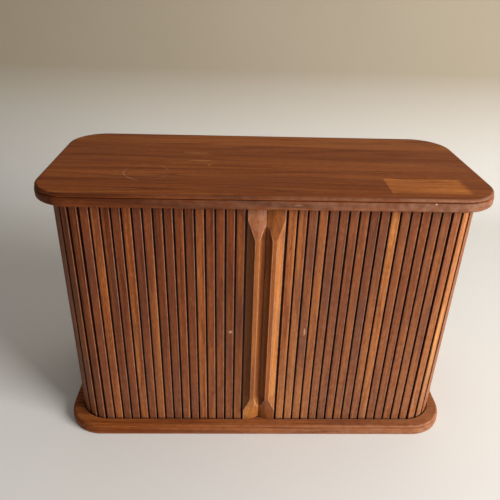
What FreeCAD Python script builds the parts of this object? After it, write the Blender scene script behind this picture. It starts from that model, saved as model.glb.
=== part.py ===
import FreeCAD, Part
import math
import os
import re
import Sketcher

os.makedirs("parts", exist_ok=True)
doc = FreeCAD.newDocument("TambourCabinet")

# Driving dimensions in millimetres, and plain counts
SIZES = {
    "cabinet_height": "380",
    "board_depth": "250",
    "board_thickness": "16",
    "board_corner": "52",
    "bead_height": "4",
    "bead_inset": "1",
    "bead_round": "3",
    "edge_ease": "1.4",
    "step_ease": "0.6",
    "front_rim": "15",
    "side_rim": "13.8",
    "pitch": "12.5",
    "lead_slats": "3",
    "bend_slats": "5",
    "middle_slats": "8",
    "slat_thickness": "5.5",
    "slat_face": "10.4",
    "slat_lip": "1.9",
    "slat_gap": "0.2",
    "slat_arris": "0.6",
    "slat_foot_gap": "0.2",
    "slat_head_gap": "2",
    "canvas_thickness": "0.8",
    "canvas_margin": "4",
    "canvas_gap": "0.3",
    "canvas_lap": "7.5",
    "bend_lead_in": "3.125",
    "track_radius": "39.8",
    "track_front_gap": "1.5",
    "track_back_gap": "1",
    "base_track_depth": "6",
    "top_track_depth": "8",
    "cusp_width": "13",
    "cusp_depth": "4.7",
    "cut_over": "1",
    "handle_width": "25",
    "handle_depth": "11.5",
    "handle_gap": "0.3",
    "handle_shoulder": "0.4",
    "handle_swell": "8.7",
    "hip_length": "44.5",
    "ridge_width": "7",
    "ridge_inset": "7",
    "outer_cove_taper": "30.8",
    "inner_cove_taper": "26.5",
    "inner_cove_sink": "2",
    "tongue_relief": "4",
    "panel_thickness": "9",
    "side_panel_gap": "4.2",
    "side_panel_setback": "65",
    "side_panel_round": "3",
    "back_ledge": "12.5",
    "back_panel_inset": "1.2",
    "back_panel_round": "8",
    "housing_depth": "3",
    "housing_gap": "0.1",
    "screw_length": "32",
    "screw_shank": "4",
    "screw_head": "8",
    "screw_head_height": "2.8",
    "screw_gap": "0.1",
    "screw_end_gap": "0.4",
    "screw_sink": "0.6",
    "fixing_setback": "28",
    "side_fixing_pitch": "108",
    "back_fixing_pitch": "185",
    "side_fixing_count": "2",
    "back_fixing_count": "3",
}

sheet = doc.addObject("Spreadsheet::Sheet", "Sizes")
for row, (alias, text) in enumerate(SIZES.items(), start=1):
    sheet.set("A%d" % row, alias)
    sheet.set("B%d" % row, text)
    sheet.setAlias("B%d" % row, alias)
doc.recompute()
ALIAS = re.compile(r"\b(" + "|".join(SIZES) + r")\b")

# Places that several pieces share, in the cabinet's frame
BASE_TOP = "board_thickness"
TOP_UNDER = "(cabinet_height - board_thickness)"
FACE = "(front_rim + track_front_gap - board_depth / 2)"
CANVAS = "(front_rim + track_front_gap + slat_thickness - board_depth / 2)"
BEND_START = "(handle_width + (lead_slats + bend_slats + middle_slats) * pitch - bend_lead_in)"
BEND = "(%s + track_radius)" % CANVAS
SIDE = "(%s + track_radius)" % BEND_START
TRACK_OUT = "(slat_thickness + track_front_gap)"
HALF_WIDTH = "(%s + %s + side_rim)" % (SIDE, TRACK_OUT)
HANDLE_BACK = "(%s + handle_depth)" % FACE
RIDGE = "(%s - handle_swell)" % FACE
PANEL_BACK = "(board_depth / 2 - back_ledge)"
PANEL_FRONT = "(%s - panel_thickness)" % PANEL_BACK
PANEL_HALF = "(%s + slat_thickness - back_panel_inset)" % SIDE
SIDE_OUT = "(%s - side_panel_gap)" % SIDE
SIDE_IN = "(%s - panel_thickness)" % SIDE_OUT
SIDE_FRONT = "(side_panel_setback - board_depth / 2)"
SLAT_FOOT = "(board_thickness - base_track_depth + slat_foot_gap)"
SLAT_HEAD = "(%s + top_track_depth - slat_head_gap)" % TOP_UNDER
PANEL_FOOT = "(board_thickness - housing_depth + housing_gap)"
PANEL_HEAD = "(%s + housing_depth - housing_gap)" % TOP_UNDER
SIDE_MIDDLE = "(%s - panel_thickness / 2)" % SIDE_OUT
BACK_MIDDLE = "(%s - panel_thickness / 2)" % PANEL_BACK
FIRST_FIXING = "(%s + fixing_setback)" % SIDE_FRONT


def bound(text):
    """The text with its size names pointing at the sheet."""
    return ALIAS.sub(r"Sizes.\1", text)


def value(text):
    """The number that the text comes to."""
    result = sheet.evalExpression(bound(text))
    return float(getattr(result, "Value", result))


def new_body(label):
    body = doc.addObject("PartDesign::Body", label)
    body.Label = label
    return body


def new_sketch(body, name, role, lift, shift="0"):
    """A sketch on the body's own plane, lifted along the plane's normal and shifted along its first axis."""
    sketch = body.newObject("Sketcher::SketchObject", name)
    plane = [item for item in body.Origin.OriginFeatures if item.Role == role][0]
    sketch.AttachmentSupport = (plane, [""])
    sketch.MapMode = "FlatFace"
    sketch.setExpression("AttachmentOffset.Base.z", bound(lift))
    sketch.setExpression("AttachmentOffset.Base.x", bound(shift))
    return sketch


def pin_point(sketch, tag, item, end, across, up):
    """Ties one point of the sketch to its two expressions."""
    for axis, kind, text, line in (("x", "DistanceX", across, -2), ("y", "DistanceY", up, -1)):
        if text == "0":
            sketch.addConstraint(Sketcher.Constraint("PointOnObject", item, end, line))
            continue
        number = sketch.addConstraint(Sketcher.Constraint(kind, -1, 1, item, end, value(text)))
        sketch.renameConstraint(number, "%s_%s" % (tag, axis))
        sketch.setExpression("Constraints.%s_%s" % (tag, axis), bound(text))


def add_arc(sketch, start, end, radius, turn):
    """An arc between two points, turning left (1) or right (-1) as it goes."""
    middle = (start + end) * 0.5
    chord = end - start
    reach = math.sqrt(max(radius**2 - chord.Length**2 / 4, 0.0))
    normal = FreeCAD.Vector(-chord.y, chord.x, 0).normalize() * turn
    centre = middle + normal * reach
    first, last = (start, end) if turn > 0 else (end, start)
    circle = Part.Circle(centre, FreeCAD.Vector(0, 0, 1), radius)
    angles = [math.atan2(point.y - centre.y, point.x - centre.x) for point in (first, last)]
    return sketch.addGeometry(Part.ArcOfCircle(circle, angles[0], angles[1]), False)


def outline(body, name, corners, role="XY_Plane", lift="0", shift="0", side=1, arcs=None):
    """A closed outline through the corners, mirrored across the centre line where side is -1.

    arcs maps a corner's number to the radius and turn of the arc that leaves it.
    """
    arcs = arcs or {}
    sketch = new_sketch(body, name, role, lift, shift)
    if side < 0:
        corners = [(across if across == "0" else "-(%s)" % across, up) for across, up in corners]
    points = [FreeCAD.Vector(value(across), value(up), 0) for across, up in corners]
    ends = []
    for number, start in enumerate(points):
        end = points[(number + 1) % len(points)]
        if number in arcs:
            radius, turn = arcs[number]
            turn = turn * side
            item = add_arc(sketch, start, end, value(radius), turn)
            ends.append((item, 1, 2) if turn > 0 else (item, 2, 1))
        else:
            item = sketch.addGeometry(Part.LineSegment(start, end), False)
            ends.append((item, 1, 2))
    for number, (item, first, last) in enumerate(ends):
        following = ends[(number + 1) % len(ends)]
        sketch.addConstraint(Sketcher.Constraint("Coincident", item, last, following[0], following[1]))
        pin_point(sketch, "p%d" % number, item, first, *corners[number])
        if number in arcs:
            mark = sketch.addConstraint(Sketcher.Constraint("Radius", item, value(arcs[number][0])))
            sketch.renameConstraint(mark, "radius_%d" % number)
            sketch.setExpression("Constraints.radius_%d" % number, bound(arcs[number][0]))
    return sketch


def circles(body, name, centres, radius, lift):
    """A sketch of equal circles on a level plane."""
    sketch = new_sketch(body, name, "XY_Plane", lift)
    for number, (across, up) in enumerate(centres):
        centre = FreeCAD.Vector(value(across), value(up), 0)
        item = sketch.addGeometry(Part.Circle(centre, FreeCAD.Vector(0, 0, 1), value(radius)), False)
        pin_point(sketch, "c%d" % number, item, 3, across, up)
        mark = sketch.addConstraint(Sketcher.Constraint("Radius", item, value(radius)))
        sketch.renameConstraint(mark, "radius_%d" % number)
        sketch.setExpression("Constraints.radius_%d" % number, bound(radius))
    return sketch


def pad(body, sketch, length, reverse=False):
    feature = body.newObject("PartDesign::Pad", sketch.Name + "_pad")
    feature.Profile = sketch
    feature.setExpression("Length", bound(length))
    feature.Reversed = reverse
    return feature


def cut(body, sketch, depth, reverse=False):
    """A pocket that is checked to have removed something."""
    doc.recompute()
    before = body.Shape.Volume
    feature = body.newObject("PartDesign::Pocket", sketch.Name + "_cut")
    feature.Profile = sketch
    feature.setExpression("Length", bound(depth))
    feature.Reversed = reverse
    doc.recompute()
    if body.Shape.Volume > before - 0.01:
        raise RuntimeError("%s removed nothing" % feature.Name)
    return feature


def turned_cut(body, sketch):
    """A full turn of the sketch about its own upright axis, taken away."""
    doc.recompute()
    before = body.Shape.Volume
    feature = body.newObject("PartDesign::Groove", sketch.Name + "_groove")
    feature.Profile = sketch
    feature.ReferenceAxis = (sketch, ["V_Axis"])
    feature.Angle = 360
    doc.recompute()
    if body.Shape.Volume > before - 0.01:
        raise RuntimeError("%s removed nothing" % feature.Name)
    return feature


def pattern(body, features, role, step, count, reverse=False):
    """Copies of the features along one of the body's axes."""
    feature = body.newObject("PartDesign::LinearPattern", body.Name + "_row")
    feature.Originals = features
    axis = [item for item in body.Origin.OriginFeatures if item.Role == role][0]
    feature.Direction = (axis, [""])
    feature.Mode = "Spacing"
    feature.setExpression("Offset", bound(step))
    feature.setExpression("Occurrences", bound(count))
    feature.Reversed = reverse
    body.Tip = feature
    return feature


def edges_where(body, test):
    """The names of the body's edges that pass the test."""
    doc.recompute()
    return ["Edge%d" % (number + 1) for number, edge in enumerate(body.Shape.Edges) if test(edge)]


def round_edges(body, name, names, radius):
    base = body.Tip
    feature = body.newObject("PartDesign::Fillet", name)
    feature.Base = (base, names)
    feature.setExpression("Radius", bound(radius))
    return feature


def ease_edges(body, name, names, size):
    base = body.Tip
    feature = body.newObject("PartDesign::Chamfer", name)
    feature.Base = (base, names)
    feature.setExpression("Size", bound(size))
    return feature


def is_level(edge, height):
    box = edge.BoundBox
    return abs(box.ZMin - height) < 1e-4 and abs(box.ZMax - height) < 1e-4


def rounded_board(body, name, inset, lift):
    """The rounded oblong that both boards are sawn to."""
    wide = "(%s - %s)" % (HALF_WIDTH, inset)
    deep = "(board_depth / 2 - %s)" % inset
    turn = "(board_corner - %s)" % inset
    wide_flat = "(%s - board_corner)" % HALF_WIDTH
    deep_flat = "(board_depth / 2 - board_corner)"
    corners = [
        ("-" + wide_flat, "-" + deep),
        (wide_flat, "-" + deep),
        (wide, "-" + deep_flat),
        (wide, deep_flat),
        (wide_flat, deep),
        ("-" + wide_flat, deep),
        ("-" + wide, deep_flat),
        ("-" + wide, "-" + deep_flat),
    ]
    arcs = {1: (turn, 1), 3: (turn, 1), 5: (turn, 1), 7: (turn, 1)}
    return outline(body, name, corners, lift=lift, arcs=arcs)


def depth_inside(point):
    """How far a point lies inside the boards' outline, in plan."""
    corner = value("board_corner")
    across = value(HALF_WIDTH) - abs(point.x)
    back = value("board_depth / 2") - abs(point.y)
    if across < corner and back < corner:
        return corner - math.hypot(corner - across, corner - back)
    return min(across, back)


def track_outline(body, name, lift):
    """The groove that both curtains run in: along the front, round both corners and back along the sides."""
    out = "(%s + %s)" % (SIDE, TRACK_OUT)
    inn = "(%s - track_back_gap)" % SIDE
    front = "(%s - %s)" % (CANVAS, TRACK_OUT)
    back = "(%s + track_back_gap)" % CANVAS
    end = "(%s - housing_gap)" % PANEL_FRONT
    big = "(track_radius + %s)" % TRACK_OUT
    small = "(track_radius - track_back_gap)"
    corners = [
        (out, end),
        (out, BEND),
        (BEND_START, front),
        ("cusp_width", front),
        ("0", "(%s + cusp_depth)" % front),
        ("-cusp_width", front),
        ("-" + BEND_START, front),
        ("-" + out, BEND),
        ("-" + out, end),
        ("-" + inn, end),
        ("-" + inn, BEND),
        ("-" + BEND_START, back),
        (BEND_START, back),
        (inn, BEND),
        (inn, end),
    ]
    arcs = {1: (big, -1), 6: (big, -1), 10: (small, 1), 12: (small, 1)}
    return outline(body, name, corners, lift=lift, arcs=arcs)


def side_panel_plan(body, name, side, gap, lift):
    """The side panel's plan, grown by a gap for its housing."""
    out = "(%s + %s)" % (SIDE_OUT, gap)
    inn = "(%s - %s)" % (SIDE_IN, gap)
    front = "(%s - %s)" % (SIDE_FRONT, gap)
    corners = [(inn, front), (out, front), (out, PANEL_FRONT), (inn, PANEL_FRONT)]
    return outline(body, name, corners, lift=lift, side=side)


def back_panel_plan(body, name, gap, lift):
    """The back panel's plan with its two rear corners rounded, grown by a gap for its housing."""
    wide = "(%s + %s)" % (PANEL_HALF, gap)
    front = "(%s - %s)" % (PANEL_FRONT, gap)
    back = "(%s + %s)" % (PANEL_BACK, gap)
    turn = "(back_panel_round + %s)" % gap
    wide_flat = "(%s - back_panel_round)" % PANEL_HALF
    turn_start = "(%s - back_panel_round)" % PANEL_BACK
    corners = [
        ("-" + wide, front),
        (wide, front),
        (wide, turn_start),
        (wide_flat, back),
        ("-" + wide_flat, back),
        ("-" + wide, turn_start),
    ]
    return outline(body, name, corners, lift=lift, arcs={2: (turn, 1), 4: (turn, 1)})


def side_fixings(side):
    """The middles of one side panel's screws."""
    sign = "" if side > 0 else "-"
    rows = range(int(value("side_fixing_count")))
    return [(sign + SIDE_MIDDLE, "(%s + %d * side_fixing_pitch)" % (FIRST_FIXING, row)) for row in rows]


def back_fixings():
    """The middles of the back panel's screws, evenly about the centre line."""
    count = int(value("back_fixing_count"))
    steps = [number - (count - 1) / 2 for number in range(count)]
    return [("0" if step == 0 else "(%g * back_fixing_pitch)" % step, BACK_MIDDLE) for step in steps]


def all_fixings():
    return side_fixings(1) + side_fixings(-1) + back_fixings()


def board(label, foot):
    """A board with a round-over bead that stands on its upper edge above a small step."""
    body = new_body(label)
    step = "(%s + board_thickness - bead_height)" % foot
    pad(body, rounded_board(body, label + "_rim", "0", foot), "board_thickness - bead_height")
    pad(body, rounded_board(body, label + "_bead", "bead_inset", step), "bead_height")
    foot_height = value(foot)
    step_height = value(step)
    head_height = value("%s + board_thickness" % foot)

    def on_rim(edge, height):
        middle = edge.valueAt((edge.FirstParameter + edge.LastParameter) / 2)
        return is_level(edge, height) and depth_inside(middle) < value("bead_inset / 2")

    foot_edges = edges_where(body, lambda edge: on_rim(edge, foot_height))
    ease_edges(body, label + "_foot_ease", foot_edges, "edge_ease")
    step_edges = edges_where(body, lambda edge: on_rim(edge, step_height))
    ease_edges(body, label + "_step_ease", step_edges, "step_ease")
    top_edges = edges_where(body, lambda edge: is_level(edge, head_height))
    round_edges(body, label + "_bead_round", top_edges, "bead_round")
    return body


def base_board():
    body = board("base_board", "0")
    cut(body, track_outline(body, "base_track", BASE_TOP), "base_track_depth")
    for side, word in ((1, "right"), (-1, "left")):
        plan = side_panel_plan(body, "base_%s_housing" % word, side, "housing_gap", BASE_TOP)
        cut(body, plan, "housing_depth")
    cut(body, back_panel_plan(body, "base_back_housing", "housing_gap", BASE_TOP), "housing_depth")
    bore = "(screw_shank / 2 + screw_gap)"
    cut(body, circles(body, "base_screw_holes", all_fixings(), bore, BASE_TOP), "board_thickness")
    head_holes = circles(body, "base_head_holes", all_fixings(), "(screw_head / 2 + screw_gap)", "0")
    cut(body, head_holes, "screw_sink + screw_head_height", True)
    return body


def top_board():
    body = board("top_board", TOP_UNDER)
    cut(body, track_outline(body, "top_track", TOP_UNDER), "top_track_depth", True)
    for side, word in ((1, "right"), (-1, "left")):
        plan = side_panel_plan(body, "top_%s_housing" % word, side, "housing_gap", TOP_UNDER)
        cut(body, plan, "housing_depth", True)
    cut(body, back_panel_plan(body, "top_back_housing", "housing_gap", TOP_UNDER), "housing_depth", True)
    return body


def drill_panel(body, name, centres):
    """Pilot holes for the screws, up into the foot of a panel."""
    holes = circles(body, name + "_screw_holes", centres, "(screw_shank / 2 + screw_gap)", PANEL_FOOT)
    cut(body, holes, "screw_sink + screw_length + screw_end_gap - %s" % PANEL_FOOT, True)


def side_panel(side, word):
    """The fixed inner side that the curtain runs behind."""
    body = new_body("%s_side_panel" % word)
    plan = side_panel_plan(body, "%s_side_plan" % word, side, "0", PANEL_FOOT)
    pad(body, plan, "%s - %s" % (PANEL_HEAD, PANEL_FOOT))

    def at_front(edge):
        upright = edge.BoundBox.ZLength > 1
        return upright and abs(edge.BoundBox.YMin - value(SIDE_FRONT)) < 1e-4

    round_edges(body, "%s_side_round" % word, edges_where(body, at_front), "side_panel_round")
    drill_panel(body, "%s_side" % word, side_fixings(side))
    return body


def back_panel():
    body = new_body("back_panel")
    pad(body, back_panel_plan(body, "back_plan", "0", PANEL_FOOT), "%s - %s" % (PANEL_HEAD, PANEL_FOOT))
    drill_panel(body, "back", back_fixings())
    return body


def screw_profile(body, name, centre):
    """Half the section of a pan-head wood screw, head down, about its own axis."""
    neck = "(screw_sink + screw_head_height)"
    tip = "(screw_sink + screw_length)"
    corners = [
        ("0", "screw_sink"),
        ("screw_head / 2", "screw_sink"),
        ("screw_head / 2", neck),
        ("screw_shank / 2", neck),
        ("screw_shank / 2", tip),
        ("0", tip),
    ]
    return outline(body, name, corners, "XZ_Plane", "-(%s)" % centre[1], centre[0])


def screws(label, firsts, role, step, count):
    """Like screws in rows that start at the given middles."""
    body = new_body(label)
    turned = []
    for number, centre in enumerate(firsts):
        sketch = screw_profile(body, "%s_section_%d" % (label, number), centre)
        feature = body.newObject("PartDesign::Revolution", sketch.Name + "_turn")
        feature.Profile = sketch
        feature.ReferenceAxis = (sketch, ["V_Axis"])
        feature.Angle = 360
        turned.append(feature)
    pattern(body, turned, role, step, count)
    return body


def handle(side, word):
    """The leading stile: it swells forward between two hipped ends, with a hollow each side of its ridge."""
    label = "%s_handle" % word
    body = new_body(label)
    reverse = side < 0
    profile = [
        (CANVAS, SLAT_FOOT),
        (FACE, SLAT_FOOT),
        (FACE, BASE_TOP),
        (RIDGE, "(%s + hip_length)" % BASE_TOP),
        (RIDGE, "(%s - hip_length)" % TOP_UNDER),
        (FACE, TOP_UNDER),
        (FACE, SLAT_HEAD),
        (CANVAS, SLAT_HEAD),
        (CANVAS, "(%s - handle_shoulder)" % TOP_UNDER),
        (HANDLE_BACK, "(%s - handle_shoulder)" % TOP_UNDER),
        (HANDLE_BACK, "(%s + handle_shoulder)" % BASE_TOP),
        (CANVAS, "(%s + handle_shoulder)" % BASE_TOP),
    ]
    lift = "handle_gap" if side > 0 else "-handle_gap"
    blank = outline(body, word + "_blank", profile, "YZ_Plane", lift)
    pad(body, blank, "handle_width - handle_gap - slat_gap", reverse)
    lap = "(handle_width - canvas_lap)"
    rebate = [(lap, CANVAS), ("handle_width", CANVAS), ("handle_width", HANDLE_BACK), (lap, HANDLE_BACK)]
    cut(body, outline(body, word + "_rebate", rebate, lift=TOP_UNDER, side=side), TOP_UNDER)
    bevel_end(body, word + "_foot", side, BASE_TOP, 1, SLAT_FOOT)
    bevel_end(body, word + "_head", side, TOP_UNDER, -1, SLAT_HEAD)
    outer_radius = "(handle_width - ridge_inset - ridge_width)"
    hollow(body, word + "_outer", side, "handle_width", RIDGE, outer_radius, "outer_cove_taper")
    inner_depth = "(%s + inner_cove_sink)" % RIDGE
    inner_radius = "sqrt(ridge_inset * ridge_inset + inner_cove_sink * inner_cove_sink)"
    hollow(body, word + "_inner", side, "0", inner_depth, inner_radius, "inner_cove_taper")
    return body


def bevel_end(body, name, side, near, inward, tip):
    """Bevels one end of the stile back to the meeting line, and relieves its tongue.

    near is where the board starts, inward the way from there to the stile's middle, and tip the tongue's end.
    """
    over = "(%s - cut_over)" % FACE
    extra = "cut_over * cusp_width / cusp_depth"
    flat = [("0", over), ("(cusp_width + %s)" % extra, over), ("0", "(%s + cusp_depth)" % FACE)]
    ridge_over = "(%s - cut_over)" % RIDGE
    ridge_back = "(%s + cusp_depth * ridge_inset / cusp_width)" % RIDGE
    slope = [("0", ridge_over), ("(ridge_inset + %s)" % extra, ridge_over), ("0", ridge_back)]
    level = "(%s + %d * hip_length)" % (near, inward)
    doc.recompute()
    before = body.Shape.Volume
    feature = body.newObject("PartDesign::SubtractiveLoft", name + "_bevel")
    feature.Profile = outline(body, name + "_bevel_near", flat, lift=near, side=side)
    feature.Sections = [outline(body, name + "_bevel_far", slope, lift=level, side=side)]
    feature.Ruled = True
    body.Tip = feature
    doc.recompute()
    if body.Shape.Volume > before - 0.01:
        raise RuntimeError("%s removed nothing" % feature.Name)
    tongue = outline(body, name + "_tongue_bevel", flat, lift=near, side=side)
    cut(body, tongue, "abs(%s - %s)" % (near, tip), inward < 0)
    shoulder = "(%s + %d * handle_shoulder)" % (near, inward)
    plan = [("0", over), ("tongue_relief", over), ("tongue_relief", HANDLE_BACK), ("0", HANDLE_BACK)]
    relief = outline(body, name + "_relief", plan, lift=shoulder, side=side)
    cut(body, relief, "abs(%s - %s)" % (shoulder, tip), inward < 0)


def hollow(body, name, side, axis, depth, radius, taper):
    """A finger hollow about an upright axis, which runs out in a taper at each end."""
    foot = "(%s + hip_length)" % BASE_TOP
    head = "(%s - hip_length)" % TOP_UNDER
    section = [
        ("0", "(%s - %s)" % (foot, taper)),
        (radius, foot),
        (radius, head),
        ("0", "(%s + %s)" % (head, taper)),
    ]
    shift = axis if side > 0 else "-" + axis
    turned_cut(body, outline(body, name + "_cove", section, "XZ_Plane", "-(%s)" % depth, shift))


def slats(label, place, count="1", side=1):
    """Slats with a proud face between two lips, so that a dark channel parts each from the next."""
    body = new_body(label)
    half = "((pitch - slat_gap) / 2)"
    face = "(slat_face / 2)"
    eased = "(slat_face / 2 - slat_arris)"
    lip = "-slat_lip"
    proud = "-(slat_thickness - slat_arris)"
    front = "-slat_thickness"
    corners = [
        ("-" + half, "0"),
        ("-" + half, lip),
        ("-" + face, lip),
        ("-" + face, proud),
        ("-" + eased, front),
        (eased, front),
        (face, proud),
        (face, lip),
        (half, lip),
        (half, "0"),
    ]
    section = outline(body, label + "_section", corners, lift=SLAT_FOOT)
    feature = pad(body, section, "%s - %s" % (SLAT_HEAD, SLAT_FOOT))
    if count != "1":
        pattern(body, [feature], "X_Axis", "pitch", count, side < 0)
    body.Placement = place
    return body


def canvas(label, place, width, side, start):
    """A strip of the curtain's canvas, which lies flat on the slats' backs."""
    box = doc.addObject("Part::Box", label)
    box.Label = label
    box.setExpression("Length", bound(width))
    box.setExpression("Width", bound("canvas_thickness"))
    box.setExpression("Height", bound("%s - %s - 2 * canvas_margin" % (TOP_UNDER, BASE_TOP)))
    shift = value(start) if side > 0 else -value(start) - value(width)
    offset = FreeCAD.Vector(shift, 0, value("%s + canvas_margin" % BASE_TOP))
    box.Placement = place.multiply(FreeCAD.Placement(offset, FreeCAD.Rotation()))
    return box


def curtain_places(side):
    """Each slat's place along the track: flat at the front, then tilted by its share of the bend."""
    pitch = value("pitch")
    flat = int(value("lead_slats + bend_slats + middle_slats"))
    x, y = value("handle_width"), value(CANVAS)
    places = []
    for number in range(1, flat + int(value("bend_slats")) + 1):
        past_bend = value("handle_width") + (number - 0.5) * pitch - value(BEND_START)
        tilt = min(max(past_bend / value("track_radius"), 0.0), math.pi / 2)
        middle = FreeCAD.Vector(side * (x + pitch / 2 * math.cos(tilt)), y + pitch / 2 * math.sin(tilt), 0)
        turn = FreeCAD.Rotation(FreeCAD.Vector(0, 0, 1), side * math.degrees(tilt))
        places.append(FreeCAD.Placement(middle, turn))
        x += pitch * math.cos(tilt)
        y += pitch * math.sin(tilt)
    return places


def curtain(side, word):
    """One door's slats and canvas, in the pieces that stay straight as the door runs."""
    places = curtain_places(side)
    lead = int(value("lead_slats"))
    bend = int(value("bend_slats"))
    middle = int(value("middle_slats"))
    made = [slats("%s_lead_slats" % word, places[0], "lead_slats", side)]
    backing = "(lead_slats * pitch + canvas_lap - canvas_gap)"
    start = "(canvas_gap / 2 - canvas_lap - pitch / 2)"
    made.append(canvas("%s_lead_canvas" % word, places[0], backing, side, start))
    single = "(pitch - canvas_gap)"
    single_start = "((canvas_gap - pitch) / 2)"
    for number in list(range(lead, lead + bend)) + list(range(lead + bend + middle, len(places))):
        made.append(slats("%s_slat_%02d" % (word, number + 1), places[number]))
        tag = "%s_canvas_%02d" % (word, number + 1)
        made.append(canvas(tag, places[number], single, side, single_start))
    first = places[lead + bend]
    made.append(slats("%s_middle_slats" % word, first, "middle_slats", side))
    width = "(middle_slats * pitch - canvas_gap)"
    made.append(canvas("%s_middle_canvas" % word, first, width, side, single_start))
    return made


pieces = [base_board(), top_board(), back_panel()]
for side, word in ((1, "right"), (-1, "left")):
    pieces.append(side_panel(side, word))
    pieces.append(handle(side, word))
    pieces.extend(curtain(side, word))
side_firsts = [side_fixings(1)[0], side_fixings(-1)[0]]
back_firsts = [back_fixings()[0]]
pieces.append(screws("side_panel_screws", side_firsts, "Y_Axis", "side_fixing_pitch", "side_fixing_count"))
pieces.append(screws("back_panel_screws", back_firsts, "X_Axis", "back_fixing_pitch", "back_fixing_count"))
doc.recompute()

for item in doc.Objects:
    if "Invalid" in item.State or "Error" in item.State:
        raise RuntimeError("%s did not recompute" % item.Name)
for piece in pieces:
    if piece.Shape.isNull() or not piece.Shape.isValid():
        raise RuntimeError("%s has no valid shape" % piece.Label)
for piece in pieces:
    piece.Shape.exportStep("parts/%s.step" % piece.Label)
    box = piece.Shape.optimalBoundingBox()
    print("%-20s solids %2d volume %10.1f" % (piece.Label, len(piece.Shape.Solids), piece.Shape.Volume), box)
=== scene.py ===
import bpy
import bmesh
import math
import random
import numpy as np
from mathutils import Matrix, Vector


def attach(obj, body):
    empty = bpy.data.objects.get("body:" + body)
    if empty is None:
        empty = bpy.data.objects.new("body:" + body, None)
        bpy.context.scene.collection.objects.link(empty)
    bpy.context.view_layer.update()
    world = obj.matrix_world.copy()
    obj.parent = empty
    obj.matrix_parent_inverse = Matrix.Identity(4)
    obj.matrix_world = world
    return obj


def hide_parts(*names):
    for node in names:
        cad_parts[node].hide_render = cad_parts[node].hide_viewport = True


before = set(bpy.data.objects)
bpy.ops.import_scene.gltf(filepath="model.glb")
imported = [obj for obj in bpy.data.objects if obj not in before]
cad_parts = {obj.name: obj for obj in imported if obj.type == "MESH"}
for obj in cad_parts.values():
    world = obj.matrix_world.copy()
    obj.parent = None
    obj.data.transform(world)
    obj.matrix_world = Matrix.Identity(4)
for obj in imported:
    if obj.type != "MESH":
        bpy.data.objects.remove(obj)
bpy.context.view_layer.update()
print("frame loaded:", len(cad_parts), "nodes")

# Where the curtain runs, in metres: its canvas lies along the front, round each corner and back
track = {
    "pitch": 0.0125,  # from slat to slat
    "firstSlat": 0.025,  # where the handle ends and slat 1 begins
    "canvasLine": -0.103,
    "bendStart": 0.221875,
    "bendRadius": 0.0398,
    "leadSlats": 3,  # these ride on the door with the handle
    "bendSlats": 5,  # these bend one by one, before the middle slats and again after them
    "middleSlats": 8,
    "baseTop": 0.016,
    "topUnder": 0.364,
    "foot": 0.0102,  # the slats' and handles' ends, down in the grooves
    "head": 0.370,
}


class Wire:
    def __init__(self, socket):
        self.socket = socket
        self.tree = socket.id_data

    def maths(self, operation, left, right):
        node = self.tree.nodes.new("ShaderNodeMath")
        node.operation = operation
        for place, item in ((0, left), (1, right)):
            plug(node.inputs[place], item)
        return Wire(node.outputs[0])

    def alone(self, operation):
        return self.maths(operation, self, 0.0)

    def most(self, other):
        return self.maths("MAXIMUM", self, other)

    def __add__(self, other):
        return self.maths("ADD", self, other)

    __radd__ = __add__

    def __sub__(self, other):
        return self.maths("SUBTRACT", self, other)

    def __rsub__(self, other):
        return self.maths("SUBTRACT", other, self)

    def __mul__(self, other):
        return self.maths("MULTIPLY", self, other)

    __rmul__ = __mul__


def plug(socket, item):
    if isinstance(item, Wire):
        socket.id_data.links.new(item.socket, socket)
    else:
        socket.default_value = item


class Nodes:
    def __init__(self, tree):
        self.tree = tree

    def node(self, kind, settings=None, out=0, **inputs):
        # an input goes by its name, with _ for a blank, or by i and its number where names repeat
        made = self.tree.nodes.new("ShaderNode" + kind)
        for name, setting in (settings or {}).items():
            if name == "stops":
                ramp = made.color_ramp
                for number, (place, shade) in enumerate(setting):
                    stop = ramp.elements[number] if number < 2 else ramp.elements.new(place)
                    stop.position = place
                    stop.color = shade
            else:
                setattr(made, name, setting)
        for name, item in inputs.items():
            key = int(name[1:]) if name[1:].isdigit() else name.replace("_", " ")
            plug(made.inputs[key], item)
        return Wire(made.outputs[out])

    def vector(self, operation, first, second=None, out=0):
        inputs = {"i0": first} if second is None else {"i0": first, "i1": second}
        return self.node("VectorMath", {"operation": operation}, out, **inputs)

    def mix(self, factor, first, second, blend="MIX"):
        settings = {"data_type": "RGBA", "blend_type": blend}
        return self.node("Mix", settings, out=2, i0=factor, i6=first, i7=second)

    def steps(self, value, low, high):
        # 0 up to low, 1 from high on
        return self.node("MapRange", {"clamp": True}, Value=value, From_Min=low, From_Max=high)

    def noise(self, place, scale, detail=3.0, rough=0.55, distort=0.0):
        return self.node("TexNoise", Vector=place, Scale=scale, Detail=detail,
                         Roughness=rough, Distortion=distort)

    def own(self):
        # places on the piece itself, which go with it when it moves
        return self.node("TexCoord", out=3)


class Finish(Nodes):
    def __init__(self, name):
        self.material = bpy.data.materials.new(name)
        self.material.use_nodes = True
        super().__init__(self.material.node_tree)
        self.shader = self.tree.nodes["Principled BSDF"]

    def set(self, **inputs):
        for name, item in inputs.items():
            plug(self.shader.inputs[name.replace("_", " ")], item)


def colour(red, green, blue):
    return (red, green, blue, 1.0)


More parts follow.
